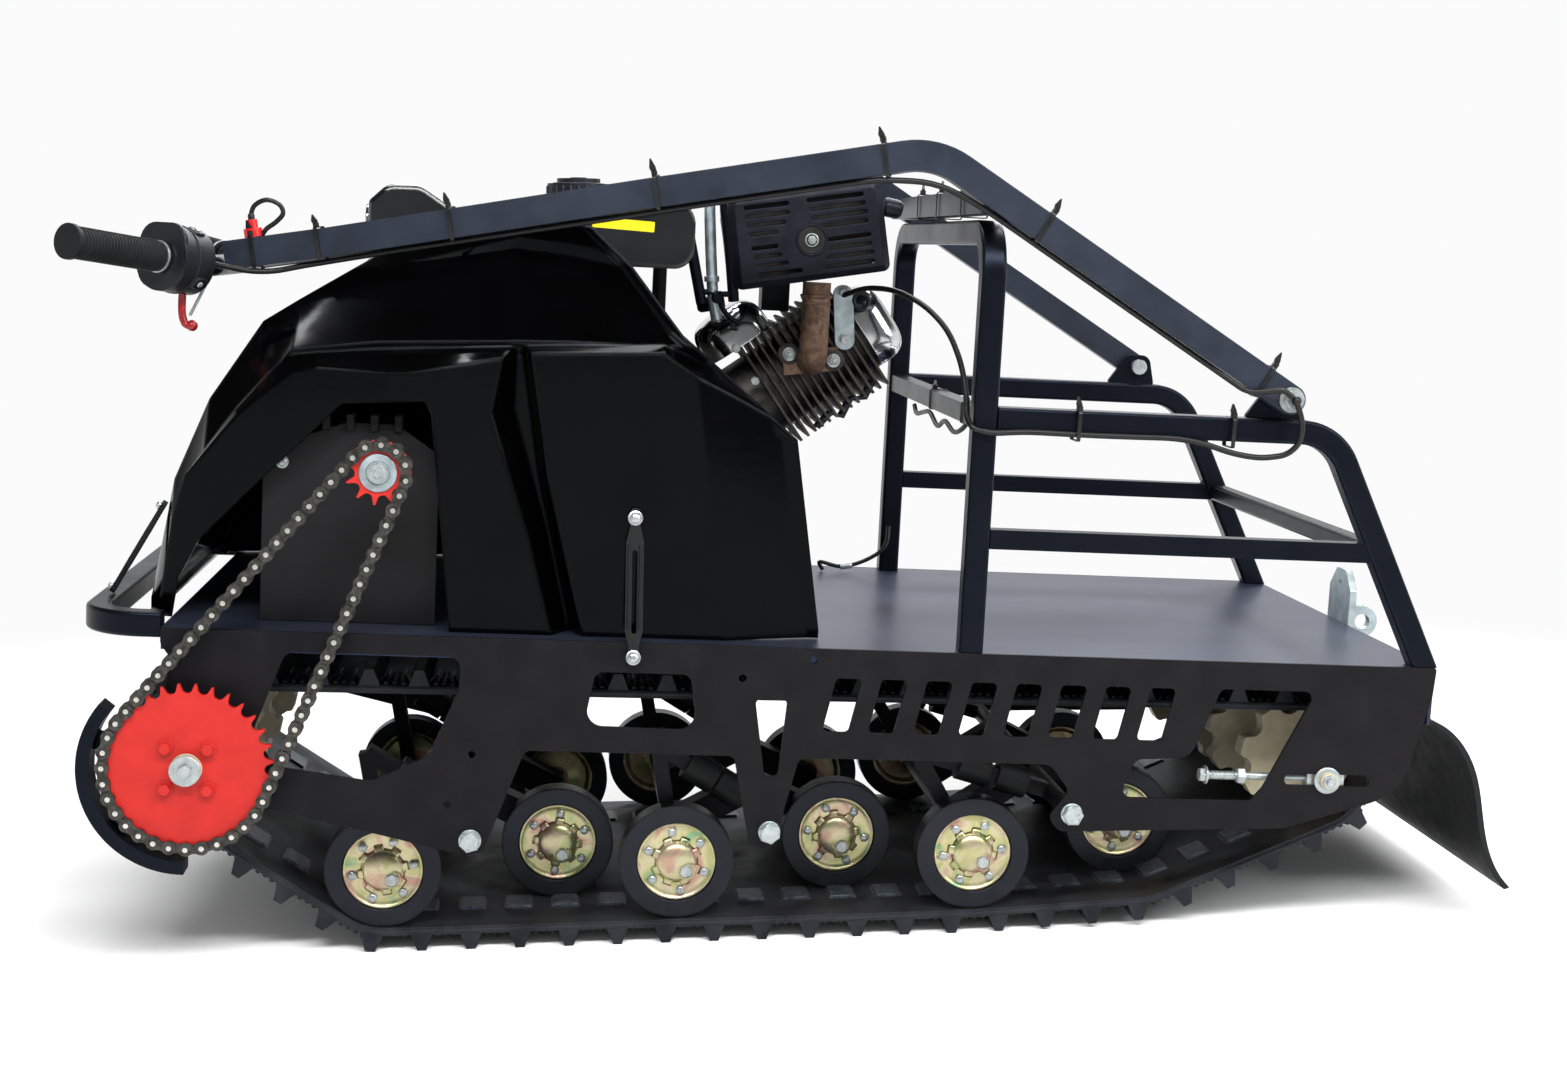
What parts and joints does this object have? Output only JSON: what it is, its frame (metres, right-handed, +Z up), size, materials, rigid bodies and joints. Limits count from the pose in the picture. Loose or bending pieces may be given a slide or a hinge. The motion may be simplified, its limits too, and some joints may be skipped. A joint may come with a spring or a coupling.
{
  "type": "tracked snow towing vehicle",
  "caption": "Low tracked snow tug: rubber track under a plate chassis, hooded engine in front, railed cargo deck, fold-forward drawbar with handlebar.",
  "frame": {"origin": "middle of the overall box's footprint, on the ground that the track stands on", "axes": "+X to the front, where the engine and the folded handlebar are, +Y to the vehicle's left, where the chain is, +Z up"},
  "size_m": [1.4896, 0.6623, 0.83],
  "materials": {
    "black_coat": "satin black powder coat",
    "hood_black": "glossy black moulded shell",
    "charcoal": "charcoal satin paint",
    "gloss_black": "gloss black",
    "rubber": "black rubber",
    "tyre_rubber": "black rubber tyre",
    "yellow_zinc": "yellow-passivated zinc",
    "zinc": "bright zinc plate",
    "red_paint": "red gloss paint",
    "chain_steel": "oiled dark steel",
    "cast_aluminium": "cast aluminium",
    "chrome": "bright pressed cover",
    "hot_steel": "heat-browned steel",
    "black_plastic": "black plastic",
    "beige_plastic": "pale plastic star wheels on a zinc axle",
    "lamp_black": "gloss black lamp body",
    "red_plastic": "red gloss",
    "cable_black": "black cable sheath"
  },
  "bodies": {
    "chassis": {"side_plate_left": "black_coat", "side_plate_right": "black_coat", "deck": "black_coat", "front_bumper": "black_coat", "front_hoop": "black_coat", "rack_rail_left": "black_coat", "rack_rail_right": "black_coat", "rack_cross_bar": "black_coat", "pivot_bolts": "zinc", "tow_hitch": "zinc", "mud_flap": "rubber", "track": "rubber", "drive_axle": "beige_plastic", "idler_axle": "beige_plastic", "road_wheel_tyres": "tyre_rubber", "road_wheel_discs": "yellow_zinc", "bogie_front": "black_coat", "bogie_middle": "black_coat", "bogie_rear": "black_coat", "track_tensioners": "zinc", "drive_sprocket": "red_paint", "engine_sprocket": "red_paint", "drive_chain": "chain_steel", "chain_guard": "black_coat", "bearing_panel": "charcoal", "jackshaft": "zinc", "engine_block": "cast_aluminium", "cylinder_fins": "cast_aluminium", "head_cover": "chrome", "cylinder_shroud": "chrome", "fuel_tank": "gloss_black", "tank_cap": "black_plastic", "tank_brackets": "charcoal", "air_cleaner": "black_plastic", "muffler_guard": "charcoal", "exhaust_pipe": "hot_steel", "muffler_bracket": "zinc", "hood": "hood_black", "headlamp": "lamp_black", "hood_straps": "rubber", "recoil_starter": "gloss_black", "bump_stops": "rubber", "silencer": "hot_steel", "throttle_cable": "cable_black"},
    "drawbar": {"drawbar": "black_coat", "handlebar": "black_coat", "grips": "rubber", "throttle_housing": "black_plastic", "brake_lever": "red_plastic", "stop_switch": "red_plastic", "drawbar_cable": "cable_black"}
  },
  "joints": [
    {"name": "drawbar_fold", "type": "hinge", "parent": "chassis", "child": "drawbar", "pos_m": [-0.47631, 0, 0.57039], "axis": [0, -1, 0], "range_deg": [0, 145]}
  ]
}
